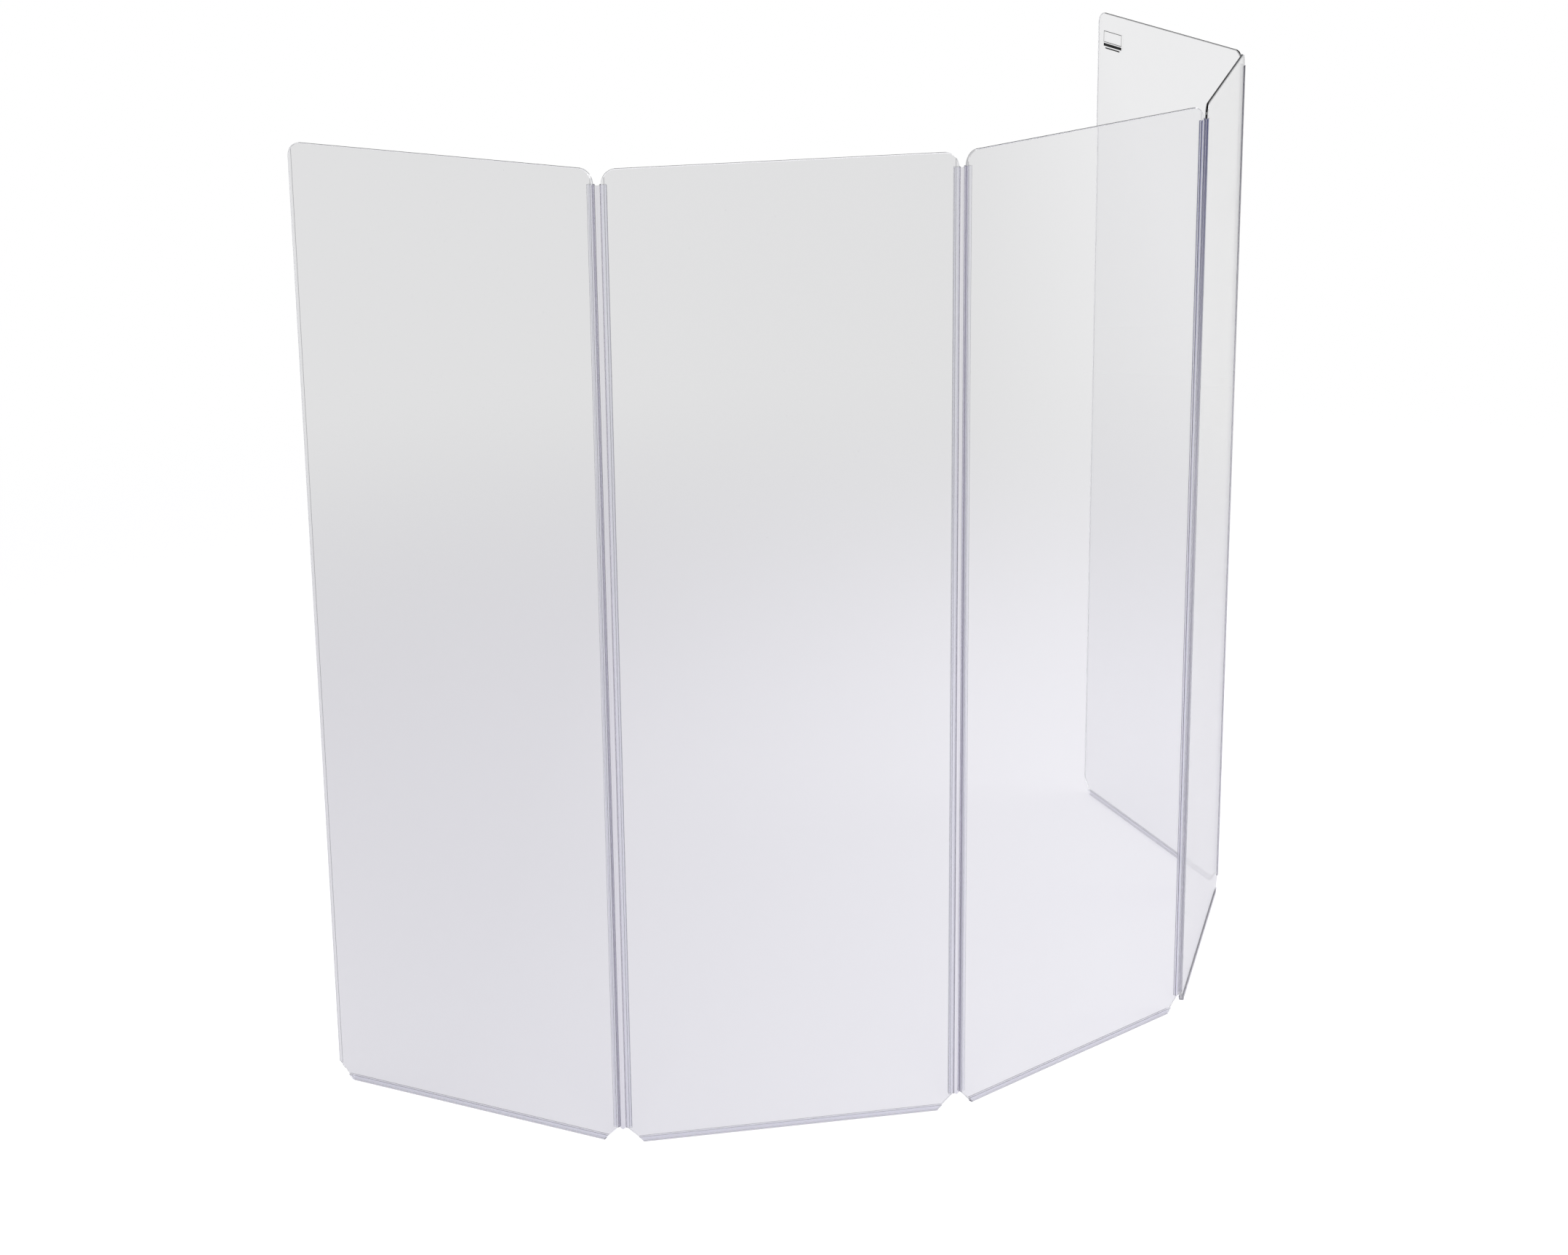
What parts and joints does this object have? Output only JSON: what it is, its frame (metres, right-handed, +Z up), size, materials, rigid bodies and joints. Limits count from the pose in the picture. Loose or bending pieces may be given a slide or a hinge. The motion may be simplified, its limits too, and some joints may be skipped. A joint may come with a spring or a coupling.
{
  "type": "drum shield",
  "caption": "Free-standing acoustic shield of tall clear sheets in an arc, joined by full-height soft-web hinges, with clear channels along the feet.",
  "frame": {"origin": "on the floor, under the middle of the whole arc's outline", "axes": "+Z up; the middle sheet faces -Y, the audience's side; the arc opens towards +Y, the player's side; sheets and hinges are numbered from -X to +X"},
  "size_m": [2.1104, 0.9286, 1.7798],
  "materials": {
    "clear_acrylic": "polished clear cast sheet",
    "rigid_clear_vinyl": "extruded, glossy, faint violet tint",
    "soft_clear_vinyl": "extruded, soft, slightly cloudy"
  },
  "bodies": {
    "panel_1": {"panel_1": "clear_acrylic", "bottom_trim_1": "rigid_clear_vinyl", "hinge_1_left_jaw": "rigid_clear_vinyl"},
    "web_1": {"hinge_1_web": "soft_clear_vinyl"},
    "panel_2": {"panel_2": "clear_acrylic", "bottom_trim_2": "rigid_clear_vinyl", "hinge_1_right_jaw": "rigid_clear_vinyl", "hinge_2_left_jaw": "rigid_clear_vinyl"},
    "web_2": {"hinge_2_web": "soft_clear_vinyl"},
    "panel_3": {"panel_3": "clear_acrylic", "bottom_trim_3": "rigid_clear_vinyl", "hinge_2_right_jaw": "rigid_clear_vinyl", "hinge_3_left_jaw": "rigid_clear_vinyl"},
    "web_3": {"hinge_3_web": "soft_clear_vinyl"},
    "panel_4": {"panel_4": "clear_acrylic", "bottom_trim_4": "rigid_clear_vinyl", "hinge_3_right_jaw": "rigid_clear_vinyl", "hinge_4_left_jaw": "rigid_clear_vinyl"},
    "web_4": {"hinge_4_web": "soft_clear_vinyl"},
    "panel_5": {"panel_5": "clear_acrylic", "bottom_trim_5": "rigid_clear_vinyl", "hinge_4_right_jaw": "rigid_clear_vinyl"}
  },
  "joints": [
    {"name": "hinge_2_near_bend", "type": "hinge", "parent": "panel_3", "child": "web_2", "pos_m": [-0.30261, -0.45988, 0.9], "axis": [0, 0, -1], "range_deg": [-105.4, 74.6]},
    {"name": "hinge_2_far_bend", "type": "hinge", "parent": "web_2", "child": "panel_2", "pos_m": [-0.31148, -0.45744, 0.9], "axis": [0, 0, -1], "range_deg": [-105.4, 74.6]},
    {"name": "hinge_1_near_bend", "type": "hinge", "parent": "panel_2", "child": "web_1", "pos_m": [-0.83922, -0.14284, 0.9], "axis": [0, 0, 1], "range_deg": [-70.3, 109.7]},
    {"name": "hinge_1_far_bend", "type": "hinge", "parent": "web_1", "child": "panel_1", "pos_m": [-0.84507, -0.13574, 0.9], "axis": [0, 0, 1], "range_deg": [-70.3, 109.7]},
    {"name": "hinge_3_near_bend", "type": "hinge", "parent": "panel_3", "child": "web_3", "pos_m": [0.31179, -0.45988, 0.9], "axis": [0, 0, -1], "range_deg": [-73.2, 106.8]},
    {"name": "hinge_3_far_bend", "type": "hinge", "parent": "web_3", "child": "panel_4", "pos_m": [0.3206, -0.45722, 0.9], "axis": [0, 0, -1], "range_deg": [-73.2, 106.8]},
    {"name": "hinge_4_near_bend", "type": "hinge", "parent": "panel_4", "child": "web_4", "pos_m": [0.83235, -0.11722, 0.9], "axis": [0, 0, 1], "range_deg": [-107.95, 72.05]},
    {"name": "hinge_4_far_bend", "type": "hinge", "parent": "web_4", "child": "panel_5", "pos_m": [0.83807, -0.11001, 0.9], "axis": [0, 0, 1], "range_deg": [-107.95, 72.05]}
  ]
}
